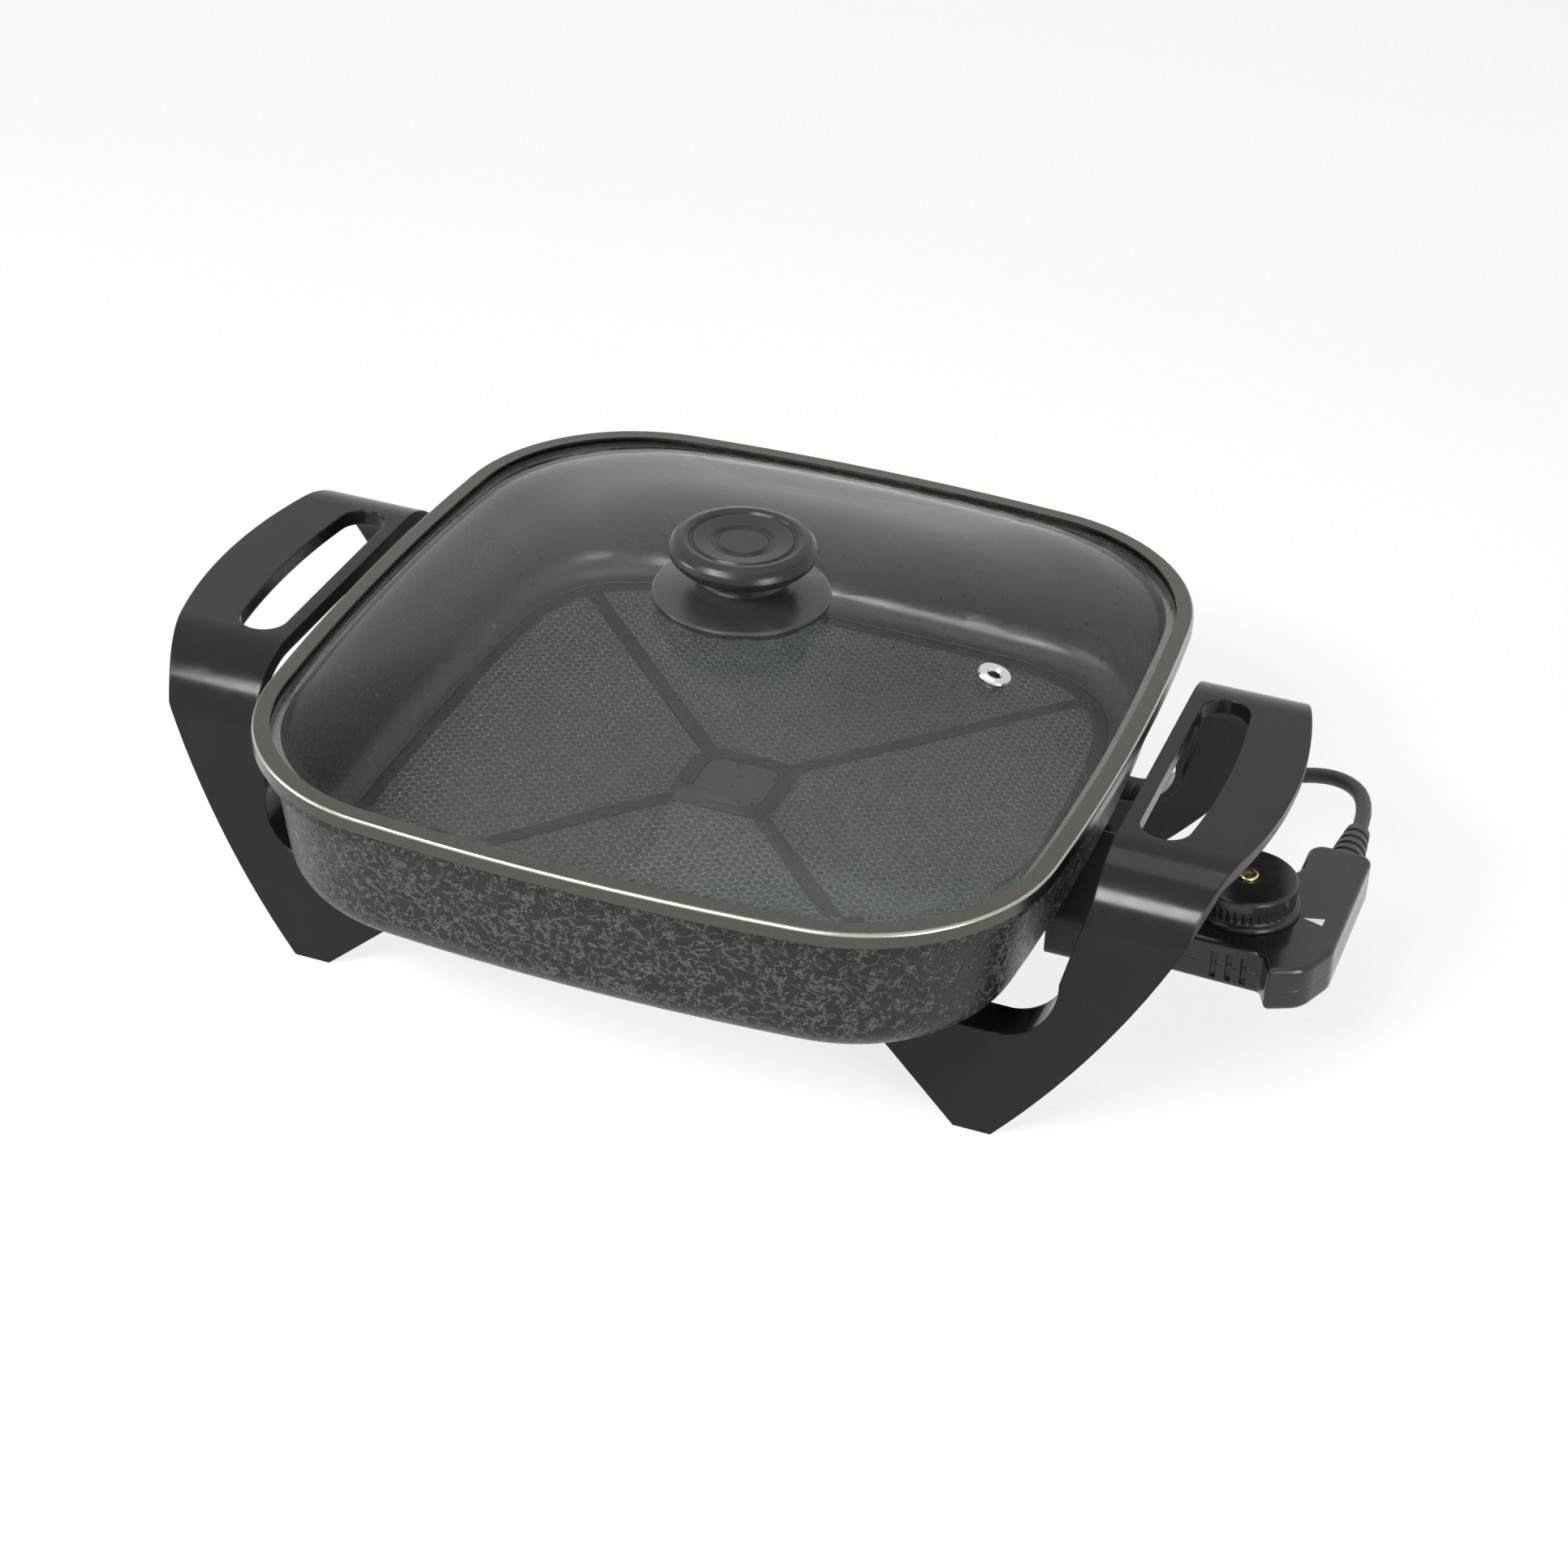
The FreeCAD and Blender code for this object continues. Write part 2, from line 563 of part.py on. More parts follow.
def make_cap():
    """Turned grip: rounded rim, a fine ring groove and a round middle button."""
    r, b, t = CAP_RADIUS, CAP_BOTTOM, CAP_TOP
    g = CAP_GROOVE_RADIUS
    c = CAP_BUTTON_RADIUS
    bore = KNOB_HOLE + 1
    edges_points = [(0, t - 1.6), (c - 1, t - 1.6), (c, t - 2.4), (c + 1.4, t - 2.4), (c + 2.6, t - 1.4),
                    (g - 1, t - 0.6), (g - 0.5, t - 1.3), (g + 0.5, t - 1.3), (g + 1, t - 0.4), (r - 5, t),
                    (r - 2.2, t - 0.8), (r - 0.6, t - 2.6), (r, t - 4.8), (r - 0.5, t - 6.4), (r - 2.4, b + 1.4),
                    (r - 6, b + 0.3), (KNOB_STEM, b), (bore, b), (bore, b + 5), (0, b + 5)]
    return revolve(edges_points)


def make_knob_screw():
    """Screw from under the glass up into the knob."""
    low = GLASS_UNDERSIDE - 1.2
    shank = cylinder(KNOB_HOLE - 2 * SEAT_GAP, low, CAP_BOTTOM + 4.6)
    head = cylinder(6.5, low - 3.0, low)
    return shank.fuse(head.makeFillet(1.2, edges_at(head, low - 3.0)))


def make_knob_washer():
    """Silicone washer between the screw head and the glass."""
    low = GLASS_UNDERSIDE - 1.2
    return cylinder(9.0, low, GLASS_UNDERSIDE).cut(cylinder(KNOB_HOLE, low - 1, GLASS_UNDERSIDE + 1))


def rounded_wire(corners):
    """Closed wire in a level plane from (point, radius) corners joined by tangent arcs."""
    edges = []
    count = len(corners)
    cuts = []
    for i in range(count):
        p, radius = corners[i]
        back = corners[i - 1][0] - p
        ahead = corners[(i + 1) % count][0] - p
        half = back.getAngle(ahead) / 2
        back.normalize()
        ahead.normalize()
        run = radius / math.tan(half)
        inward = back + ahead
        inward.normalize()
        middle = p + inward * (radius / math.sin(half) - radius)
        cuts.append((p + back * run, middle, p + ahead * run))
    for i in range(count):
        edges.append(arc(*cuts[i]))
        edges.append(Part.LineSegment(cuts[i][2], cuts[(i + 1) % count][0]).toShape())
    return Part.Wire(edges)


def control_wire(height):
    """Plan of the control: a straight nose, a rounded grip and an arm to the cord."""
    half, end, front = CONTROL_HALF, CONTROL_END, GRIP_FRONT
    corners = [
        (CONTROL_NOSE, -half, 2),
        (end - 22.5, -half - 2, 3),
        (end - 18.5, -front - 1, 1.5),
        (end - 6, -front + 5, 12),
        (end, -front + 20, 10),
        (end, ARM_END, 5),
        (ARM_INNER, ARM_END, 6),
        (ARM_INNER, half, 5),
        (CONTROL_NOSE, half, 2),
    ]
    return rounded_wire([(V(x, y, height), radius) for x, y, radius in corners])


def control_slab(low, high, inset):
    wire = control_wire(low)
    if inset:
        wire = wire.makeOffset2D(-inset)
    return Part.Face(wire).extrude(V(0, 0, high - low))


def socket_holes(shape):
    for s in (1, -1):
        y = s * TERMINAL_SPACING / 2
        shape = shape.cut(rod_x(SOCKET_RADIUS, CONTROL_NOSE - 1, CONTROL_NOSE + CONTROL_WALL + 1, y, ELEMENT_HEIGHT))
    return shape.cut(rod_x(PROBE_RADIUS + FIT, CONTROL_NOSE - 1, CONTROL_NOSE + CONTROL_WALL + 1, 0, AXIS_HEIGHT))


def grip_slots(shape):
    """Three upright finger slots near the front corner."""
    for x in (DIAL_X - 4.5, DIAL_X + 1.0, DIAL_X + 6.5):
        shape = shape.cut(Part.makeBox(2.2, 3.0, 11.0, V(x, -CONTROL_HALF - 3.2, CONTROL_SPLIT - 6.0)))
    return shape


def make_control_top():
    """Upper half of the control, with the shaft hole."""
    top = control_slab(CONTROL_SPLIT, CONTROL_TOP, 0)
    top = top.makeFillet(1.8, edges_at(top, CONTROL_TOP))
    hollow = control_slab(CONTROL_SPLIT - 1, CONTROL_TOP - CONTROL_WALL, CONTROL_WALL)
    top = top.cut(hollow)
    top = top.cut(cylinder(SHAFT_RADIUS + FIT + 0.01, CONTROL_SPLIT, CONTROL_TOP + 1, DIAL_X))
    exit_hole = Part.makeCylinder(CORD_RADIUS + 1.0, 12, V(CORD_X, ARM_END - 8, CONTROL_SPLIT), V(0, 1, 0))
    return socket_holes(grip_slots(top)).cut(exit_hole)


def make_control_base():
    """Lower half of the control."""
    base = control_slab(CONTROL_BOTTOM, CONTROL_SPLIT, 0)
    base = base.makeFillet(3.0, edges_at(base, CONTROL_BOTTOM))
    hollow = control_slab(CONTROL_BOTTOM + CONTROL_WALL, CONTROL_SPLIT + 1, CONTROL_WALL)
    base = base.cut(hollow)
    exit_hole = Part.makeCylinder(CORD_RADIUS + 1.0, 12, V(CORD_X, ARM_END - 8, CONTROL_SPLIT), V(0, 1, 0))
    base = socket_holes(grip_slots(base)).cut(exit_hole)
    for x, y in control_screw_places():
        base = base.fuse(cylinder(3.6, CONTROL_BOTTOM + 0.5, CONTROL_SPLIT, x, y))
        base = base.cut(cylinder(1.6 + FIT, CONTROL_BOTTOM - 1, CONTROL_SPLIT + 1, x, y))
        base = base.cut(cylinder(3.0, CONTROL_BOTTOM - 1, CONTROL_BOTTOM + 2, x, y))
    return base


def control_screw_places():
    near, far = CONTROL_NOSE + 7.0, CONTROL_END - 9.3
    return [(near, -8.5), (near, 8.5), (far, -GRIP_FRONT / 2), (far - 8.5, ARM_END - 16.6)]


def make_control_screws():
    shapes = []
    for x, y in control_screw_places():
        low = CONTROL_BOTTOM + 2
        screw = cylinder(1.6, low, CONTROL_SPLIT + 5.5, x, y)
        head = cylinder(2.8, low - 1.6, low, x, y)
        shapes.append(screw.fuse(head))
    return Part.makeCompound(shapes)


def make_probe():
    """Closed sensing tube that reaches into the boss under the pan."""
    tube = rod_x(PROBE_RADIUS, PROBE_TIP, CONTROL_NOSE + PROBE_ROOT, 0, AXIS_HEIGHT)
    tip = [e for e in tube.Edges if e.BoundBox.XMax < PROBE_TIP + 0.01]
    tube = tube.makeFillet(PROBE_RADIUS * 0.8, tip)
    return tube.cut(rod_x(PROBE_RADIUS - 0.8, PROBE_TIP + 2, CONTROL_NOSE + PROBE_ROOT + 1, 0, AXIS_HEIGHT))


def make_sensing_rod():
    """Rod inside the probe tube that moves the thermostat blade."""
    return rod_x(1.6, PROBE_TIP + 2, CONTROL_NOSE + PROBE_ROOT + 2, 0, AXIS_HEIGHT)


def make_sockets():
    """Sprung receptacles that take the two pins."""
    shapes = []
    for s in (1, -1):
        y = s * TERMINAL_SPACING / 2
        start = CONTROL_NOSE + CONTROL_WALL + 0.3
        tube = rod_x(3.6, start, start + SOCKET_LENGTH, y, ELEMENT_HEIGHT)
        tube = tube.cut(rod_x(PIN_RADIUS + 0.08, start - 1, start + SOCKET_LENGTH - 2.6, y, ELEMENT_HEIGHT))
        blade = Part.makeBox(12, 3.0, 0.8, V(start + SOCKET_LENGTH - 0.1, y - 1.5, ELEMENT_HEIGHT - 0.4))
        shapes.append(tube.fuse(blade))
    return Part.makeCompound(shapes)


def make_thermostat():
    """Ceramic block that carries the switch, on the floor of the lower half."""
    low = CONTROL_BOTTOM + CONTROL_WALL
    x = CONTROL_NOSE + 34
    block = Part.makeBox(18, 24, 4.2, V(x, -12, low))
    return block.cut(cylinder(1.2, low + 2, low + 6, x + 4, 0))


def make_blade():
    """Switch blade on the block, under the dial shaft and met by the sensing rod."""
    low = CONTROL_BOTTOM + CONTROL_WALL + 4.2
    x = CONTROL_NOSE + 36
    foot = Part.makeBox(6, 6, 0.8, V(x, -3, low))
    leaf = Part.makeBox(0.8, 6, AXIS_HEIGHT - low + 2.2, V(x - 0.8, -3, low))
    link = Part.makeBox(17.2, 2.4, 0.8, V(x - 18.0, -1.2, AXIS_HEIGHT - 0.4))
    return foot.fuse(leaf).fuse(link)


def make_pointer():
    """Small inlaid pointer mark that shows the setting on the dial."""
    z = CONTROL_TOP
    tip = DIAL_X + DIAL_BASE_RADIUS + 2.0
    corners = [V(tip, -0.8, z), V(tip + MARK_LENGTH, 1.2, z), V(tip + MARK_LENGTH, -2.8, z)]
    return Part.Face(Part.makePolygon(corners + corners[:1])).extrude(V(0, 0, 0.25))


def make_dial():
    """Dial: plain upper band, fluted grip band and a flared base."""
    r, rb, h = DIAL_RADIUS, DIAL_BASE_RADIUS, DIAL_HEIGHT
    low = CONTROL_TOP + SEAT_GAP
    top = low + h
    points = [(SHAFT_RADIUS + FIT, low), (rb, low), (rb, low + 1.2), (rb - 0.6, low + 1.8), (r - 0.2, low + 2.2),
              (r, top - 0.8), (r - 0.8, top), (DIAL_SCREW_RADIUS + 0.4, top), (DIAL_SCREW_RADIUS + 0.4, top - 1.4),
              (SHAFT_RADIUS + FIT, top - 1.4)]
    dial = revolve(points, DIAL_X)
    cutter = Part.makeCylinder(0.9, 4.6, V(DIAL_X + r + 0.25, 0, low + 2.6))
    flutes = []
    for i in range(DIAL_FLUTES):
        flute = cutter.copy()
        flute.rotate(V(DIAL_X, 0, 0), V(0, 0, 1), 360.0 * i / DIAL_FLUTES)
        flutes.append(flute)
    return dial.cut(Part.makeCompound(flutes))


def make_shaft():
    """Dial shaft down through the upper half, with a collar inside."""
    low = CONTROL_TOP + SEAT_GAP
    end = AXIS_HEIGHT + 3.4
    shaft = cylinder(SHAFT_RADIUS, end, low + DIAL_HEIGHT - 1.5, DIAL_X)
    return shaft.fuse(cylinder(SHAFT_RADIUS + 2, CONTROL_TOP - CONTROL_WALL - 1.5, CONTROL_TOP - CONTROL_WALL - SEAT_GAP,
                               DIAL_X))


def make_dial_screw():
    """Slotted brass screw that holds the dial on its shaft."""
    low = CONTROL_TOP + SEAT_GAP + DIAL_HEIGHT - 1.4
    head = cylinder(DIAL_SCREW_RADIUS, low, low + 2.6, DIAL_X)
    head = head.makeFillet(0.8, edges_at(head, low + 2.6))
    slot = Part.makeBox(9, 1.0, 1.2, V(DIAL_X - 4.5, -0.5, low + 1.6))
    slot.rotate(V(DIAL_X, 0, 0), V(0, 0, 1), 35)
    return head.cut(slot)


def make_relief():
    """Ribbed strain relief, tapered away from the control."""
    start = ARM_END - 5.5
    end = ARM_END + RELIEF_LENGTH
    centre = V(CORD_X, start, CONTROL_SPLIT)
    along = V(0, 1, 0)
    collar = Part.makeCylinder(CORD_RADIUS + 0.8, ARM_END - start + 0.5, centre, along)
    cone = Part.makeCone(7.4, 4.6, end - ARM_END, V(CORD_X, ARM_END, CONTROL_SPLIT), along)
    body = collar.fuse(cone)
    for i in range(4):
        y = ARM_END + 3.4 + 5.4 * i
        groove = Part.makeCylinder(9, 2.2, V(CORD_X, y, CONTROL_SPLIT), along)
        core = Part.makeCylinder(CORD_RADIUS + 1.2, 2.2, V(CORD_X, y, CONTROL_SPLIT), along)
        body = body.cut(groove.cut(core))
    return body


def route_points():
    """Free stretch of the cord, by hand: a curl behind the handle, then along the table."""
    end = V(CORD_X, ARM_END + RELIEF_LENGTH, CONTROL_SPLIT)
    start, heading = coil_entry()
    return [
        end,
        end + V(0, 23.9, 0),
        end + V(-17.0, 40.9, -2.0),
        V(178.0, 115.0, 0.784 * CONTROL_SPLIT),
        V(156.0, 112.0, 0.568 * CONTROL_SPLIT),
        V(131.0, 108.5, 0.284 * CONTROL_SPLIT),
        V(104.0, 111.5, 5.0),
        V(75.0, 123.5, 3.4),
        V(44.0, 146.0, 3.4),
        V(13.0, 166.0, 3.4),
        start - heading * 31.0,
        start,
    ]


def tail_points():
    """Short end from the top of the coil down to the plug."""
    end, heading = coil_exit()
    bent = end + heading * 20
    return [end, bent, V(-97.0, 193.0, PLUG_RADIUS), V(-119.0, 200.0, PLUG_RADIUS)]


def rounded_path(points, label):
    """Straight runs joined by tangent arcs that are as large as the runs allow."""
    edges = []
    radii = []
    last = points[0]
    for i in range(1, len(points) - 1):
        a = points[i] - points[i - 1]
        b = points[i + 1] - points[i]
        run = 0.45 * min(a.Length, b.Length)
        half = a.getAngle(b) / 2
        radii.append(run / math.tan(half))
        a.normalize()
        b.normalize()
        start = points[i] - a * run
        end = points[i] + b * run
        inward = b - a
        inward.normalize()
        reach = radii[-1] / math.cos(half)
        middle = points[i] + inward * (reach - radii[-1])
        edges.append(Part.LineSegment(last, start).toShape())
        edges.append(arc(start, middle, end))
        last = end
    edges.append(Part.LineSegment(last, points[-1]).toShape())
    path = Part.Wire(edges)
    print("%s radii %s length %.0f" % (label, " ".join("%.0f" % r for r in radii), path.Length))
    return path


def tube(path, start, heading, label):
    ring = Part.Wire(Part.makeCircle(CORD_RADIUS, start, heading))
    solid = path.makePipeShell([ring], True, False)
    print("%s volume against section times length: %.4f"
          % (label, solid.Volume / (math.pi * CORD_RADIUS ** 2 * path.Length)))
    return solid


def coil_point(turn):
    """Middle of the coiled cord after some turns: in on the lower layer, out on the upper."""
    half = COIL_TURNS_PER_LAYER
    from_middle = abs(turn - half)
    radius = COIL_RADIUS + COIL_PITCH * (from_middle - half / 2)
    angle = COIL_START - 2 * math.pi * turn
    rise = min(max((turn - half + 0.25) / 0.5, 0.0), 1.0)
    climb = rise * rise * (3 - 2 * rise)
    low = CORD_RADIUS + 0.4
    return V(COIL_CENTRE[0] + radius * math.cos(angle), COIL_CENTRE[1] + radius * math.sin(angle),
             low + COIL_PITCH * climb)


def coil_heading(turn):
    step = 1e-4
    heading = coil_point(turn + step) - coil_point(turn - step)
    heading.normalize()
    return heading


def coil_entry():
    heading = coil_heading(0)
    heading.z = 0
    return coil_point(0) - heading * 2 * CORD_RADIUS, heading


def coil_exit():
    turn = 2 * COIL_TURNS_PER_LAYER
    heading = coil_heading(turn)
    heading.z = 0
    return coil_point(turn) + heading * 2 * CORD_RADIUS, heading


def biarc(a, ta, b, tb):
    """Two tangent arcs from one point and heading to the next."""
    v = b - a
    t = ta + tb
    spread = 2 * (1 - ta.dot(tb))
    if spread < 1e-9:
        d = v.dot(v) / (2 * v.dot(t))
    else:
        d = (-v.dot(t) + math.sqrt(v.dot(t) ** 2 + spread * v.dot(v))) / spread
    joint = (a + b + (ta - tb) * d) * 0.5
    return [tangent_arc(a, ta, joint), tangent_arc(b, tb * -1, joint)]


def tangent_arc(a, heading, b):
    chord = b - a
    half = chord.getAngle(heading)
    normal = heading * chord.Length - chord * math.cos(half)
    normal.normalize()
    middle = (a + b) * 0.5 + normal * (chord.Length / 2 * math.tan(half / 2))
    return a, middle, b


def make_coil():
    """Two layers of turns as one unbroken tube."""
    entry, heading = coil_entry()
    leave, leave_heading = coil_exit()
    edges = [Part.LineSegment(entry, coil_point(0)).toShape()]
    quarters = int(round(8 * COIL_TURNS_PER_LAYER))
    for i in range(quarters):
        a, b = i / 4.0, (i + 1) / 4.0
        ta = heading if i == 0 else coil_heading(a)
        tb = leave_heading if i == quarters - 1 else coil_heading(b)
        first, second = biarc(coil_point(a), ta, coil_point(b), tb)
        edges.append(arc(*first))
        edges.append(arc(second[2], second[1], second[0]))
    edges.append(Part.LineSegment(coil_point(2 * COIL_TURNS_PER_LAYER), leave).toShape())
    path = Part.Wire(edges)
    print("coil length %.0f least gap %.2f" % (path.Length, coil_gap()))
    return tube(path, entry, heading, "coil")


def coil_gap():
    """Least distance between surfaces of turns that lie next to each other."""
    steps = 60
    count = int(steps * 2 * COIL_TURNS_PER_LAYER)
    places = [coil_point(i / steps) for i in range(count + 1)]
    least = min((places[i] - places[j]).Length
                for i in range(count + 1) for j in range(i + steps // 2, count + 1))
    return least - 2 * CORD_RADIUS


def plug_frame():
    """Start and heading of the plug, in line with the end of the cord."""
    points = tail_points()
    heading = points[-1] - points[-2]
    heading.normalize()
    return points[-1], heading


def make_plug():
    """Moulded plug: a flared front, a waist for the fingers and a tapered neck."""
    start, heading = plug_frame()
    profile = [(0, 0), (4.4, 0), (5.0, 8), (8.4, 13), (8.6, 27), (PLUG_RADIUS, 30),
               (PLUG_RADIUS, PLUG_LENGTH), (0, PLUG_LENGTH)]
    points = [V(r, 0, z) for r, z in profile]
    body = Part.Face(Part.makePolygon(points + points[:1])).revolve(V(0, 0, 0), V(0, 0, 1), 360)
    body.Placement = FreeCAD.Placement(start, FreeCAD.Rotation(V(0, 0, 1), heading))
    return body


def make_plug_pins():
    """Two flat blades."""
    start, heading = plug_frame()
    side = V(-heading.y, heading.x, 0)
    side.normalize()
    turn = math.degrees(math.atan2(heading.y, heading.x))
    shapes = []
    for s in (1, -1):
        blade = Part.makeBox(17, 1.5, 6.4, V(0, -0.75, -3.2))
        blade.rotate(V(0, 0, 0), V(0, 0, 1), turn)
        blade.translate(start + heading * PLUG_LENGTH + side * (s * PLUG_PIN_SPACING / 2 * 0.9))
        shapes.append(blade)
    return Part.makeCompound(shapes)


def main():
    os.makedirs("parts", exist_ok=True)
    save("pan", make_pan())
    save("heating_element", make_element())
    save("terminal_insulators", make_insulators())
    save("terminal_pins", make_pins())
    save("terminal_guard", make_guard())
    right = make_right_handle()
    save("right_handle", right)
    save("left_handle", right.mirror(V(0, 0, 0), V(1, 0, 0)))
    save("handle_screws", make_handle_screws())
    glass = make_glass()
    vent = vent_place(glass)
    save("lid_glass", cut_vent(glass, vent))
    save("lid_ring", make_ring())
    save("vent_eyelet", make_eyelet(vent))
    save("knob_skirt", make_skirt())
    save("knob_cap", make_cap())
    save("knob_screw", make_knob_screw())
    save("knob_washer", make_knob_washer())
    save("control_top", make_control_top())
    save("control_base", make_control_base())
    save("control_screws", make_control_screws())
    save("probe_tube", make_probe())
    save("sensing_rod", make_sensing_rod())
    save("pin_sockets", make_sockets())
    save("thermostat_block", make_thermostat())
    save("thermostat_blade", make_blade())
    save("pointer_mark", make_pointer())
    save("dial_knob", make_dial())
    save("dial_shaft", make_shaft())
    save("dial_screw", make_dial_screw())
    save("strain_relief", make_relief())
    points = route_points()
    save("power_cord", tube(rounded_path(points, "cord"), points[0], points[1] - points[0], "cord"))
    save("cord_coil", make_coil())
    points = tail_points()
    save("cord_tail", tube(rounded_path(points, "tail"), points[0], points[1] - points[0], "tail"))
    save("plug_body", make_plug())
    save("plug_pins", make_plug_pins())


main()
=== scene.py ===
import bmesh
import bpy
import json
import math
from mathutils import Matrix, Vector


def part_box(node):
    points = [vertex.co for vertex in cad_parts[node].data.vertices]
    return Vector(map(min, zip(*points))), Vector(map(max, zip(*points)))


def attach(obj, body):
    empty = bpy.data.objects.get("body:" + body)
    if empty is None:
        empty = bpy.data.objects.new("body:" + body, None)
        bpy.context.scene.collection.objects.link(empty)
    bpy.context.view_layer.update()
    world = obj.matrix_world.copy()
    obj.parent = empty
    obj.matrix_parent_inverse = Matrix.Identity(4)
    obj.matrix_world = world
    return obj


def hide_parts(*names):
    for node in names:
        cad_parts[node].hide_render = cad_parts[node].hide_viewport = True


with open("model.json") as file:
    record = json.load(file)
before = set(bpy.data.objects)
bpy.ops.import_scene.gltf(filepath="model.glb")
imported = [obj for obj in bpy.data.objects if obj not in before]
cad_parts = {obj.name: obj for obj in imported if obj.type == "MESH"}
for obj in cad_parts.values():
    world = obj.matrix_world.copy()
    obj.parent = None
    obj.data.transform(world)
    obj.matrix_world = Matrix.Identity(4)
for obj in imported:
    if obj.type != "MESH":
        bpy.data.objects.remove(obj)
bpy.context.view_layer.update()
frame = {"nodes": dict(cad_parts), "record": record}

# The middle of the pan and the rim height, read from the frame, and the inset and depth that the
# finishes follow
PAN_LOW, PAN_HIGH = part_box("pan")
PAN_MID = Vector(((PAN_LOW[0] + PAN_HIGH[0]) / 2, (PAN_LOW[1] + PAN_HIGH[1]) / 2, 0))
RIM_HEIGHT = PAN_HIGH[2]
RIM_INSET = 0.004
RIM_HALF = (PAN_HIGH[0] - PAN_LOW[0]) / 2 - RIM_INSET
PAN_DEPTH = 0.0504
FLOOR_LEVEL = RIM_HEIGHT - PAN_DEPTH


# Camera

VIEW_TURN = math.radians(19.17)
VIEW_RISE = math.radians(32.84)
VIEW_ROLL = math.radians(2.55)
VIEW_DISTANCE = 1.2002
VIEW_TARGET = Vector((0.04538, -0.07494, 0.1088)) + PAN_MID
FOCAL_LENGTH = 80.39
SENSOR_WIDTH = 36.0
FAR_LIMIT = 20


def make_camera():
    """Camera at the photograph's place, with its small roll."""
    data = bpy.data.cameras.new("photo_camera")
    data.lens = FOCAL_LENGTH
    data.sensor_width = SENSOR_WIDTH
    data.clip_end = FAR_LIMIT
    camera = bpy.data.objects.new("photo_camera", data)
    bpy.context.scene.collection.objects.link(camera)
    back = Vector((math.sin(VIEW_TURN) * math.cos(VIEW_RISE),
                   -math.cos(VIEW_TURN) * math.cos(VIEW_RISE),
                   math.sin(VIEW_RISE)))
    right = (-back).cross(Vector((0, 0, 1))).normalized()
    up = right.cross(-back)
    tilted_right = math.cos(VIEW_ROLL) * right + math.sin(VIEW_ROLL) * up
    tilted_up = math.cos(VIEW_ROLL) * up - math.sin(VIEW_ROLL) * right
    turn = Matrix((tilted_right, tilted_up, back)).transposed()
    camera.matrix_world = Matrix.Translation(VIEW_TARGET + VIEW_DISTANCE * back) @ turn.to_4x4()
    bpy.context.scene.camera = camera


# Materials

class Shader:
    """A node tree with one Principled shader and short calls to add nodes."""

    def __init__(self, name):
        self.material = bpy.data.materials.new(name)
        self.material.use_nodes = True
        self.nodes = self.material.node_tree.nodes
        self.links = self.material.node_tree.links
        self.shader = self.nodes["Principled BSDF"]
        self.place = self.add("ShaderNodeTexCoord").outputs["Object"]

    def add(self, kind, **settings):
        node = self.nodes.new(kind)
        for key, value in settings.items():
            setattr(node, key, value)
        return node

    def set(self, **values):
        for key, value in values.items():
            self.shader.inputs[key.replace("_", " ")].default_value = value

    def link(self, source, target):
        self.links.new(source, target)

    def math(self, kind, a, b=None):
        node = self.add("ShaderNodeMath", operation=kind)
        for slot, value in zip(node.inputs, (a, b)):
            if isinstance(value, (int, float)):
                slot.default_value = value
            elif value is not None:
                self.link(value, slot)
        return node.outputs[0]

    def both(self, a, b):
        """Product of two shares."""
        return self.math("MULTIPLY", a, b)

    def away(self, value, middle):
        """Distance of a value from a middle one."""
        return self.math("ABSOLUTE", self.math("SUBTRACT", value, middle))

    def noise(self, scale, detail=3.0, roughness=0.5, place=None):
        node = self.add("ShaderNodeTexNoise")
        node.inputs["Scale"].default_value = scale
        node.inputs["Detail"].default_value = detail
        node.inputs["Roughness"].default_value = roughness
        self.link(place or self.place, node.inputs["Vector"])
        return node.outputs["Fac"]

    def ramp(self, value, low, high, to_low=0.0, to_high=1.0):
        node = self.add("ShaderNodeMapRange", interpolation_type="SMOOTHSTEP")
        for slot, number in zip(node.inputs[1:5], (low, high, to_low, to_high)):
            slot.default_value = number
        self.link(value, node.inputs[0])
        return node.outputs[0]

    def mix(self, share, a, b):
        node = self.add("ShaderNodeMix", data_type="RGBA")
        self.link(share, node.inputs["Factor"])
        for slot, value in zip(("A", "B"), (a, b)):
            socket = [s for s in node.inputs if s.name == slot and s.type == "RGBA"][0]
            if isinstance(value, tuple):
                socket.default_value = value
            else:
                self.link(value, socket)
        return [s for s in node.outputs if s.type == "RGBA"][0]

    def scaled(self, x, y, z):
        node = self.add("ShaderNodeMapping")
        node.inputs["Scale"].default_value = (x, y, z)
        self.link(self.place, node.inputs["Vector"])
        return node.outputs["Vector"]

    def axes(self):
        node = self.add("ShaderNodeSeparateXYZ")
        self.link(self.place, node.inputs[0])
        return node.outputs

    def facing(self):
        """The three parts of the surface's own direction, in object space."""
        node = self.add("ShaderNodeSeparateXYZ")
        self.link(self.add("ShaderNodeTexCoord").outputs["Normal"], node.inputs[0])
        return node.outputs

    def bump(self, height, strength, distance, previous=None):
        node = self.add("ShaderNodeBump")
        node.inputs["Strength"].default_value = strength
        node.inputs["Distance"].default_value = distance
        self.link(height, node.inputs["Height"])
        if previous is not None:
            self.link(previous, node.inputs["Normal"])
        self.link(node.outputs["Normal"], self.shader.inputs["Normal"])
        return node.outputs["Normal"]

    def colour(self, value):
        self.link(value, self.shader.inputs["Base Color"])

    def rough(self, value, low, high, smooth, dull):
        """Roughness between smooth and dull as a value goes from low to high."""
        self.link(self.ramp(value, low, high, smooth, dull), self.shader.inputs["Roughness"])


def grey(value, warm=0.0):
    return (value * (1 + warm), value, value * (1 - warm), 1)


EDGE_RADIUS = 0.0011
FINE_RELIEF = 0.0002
FLOW_RELIEF = 0.0006


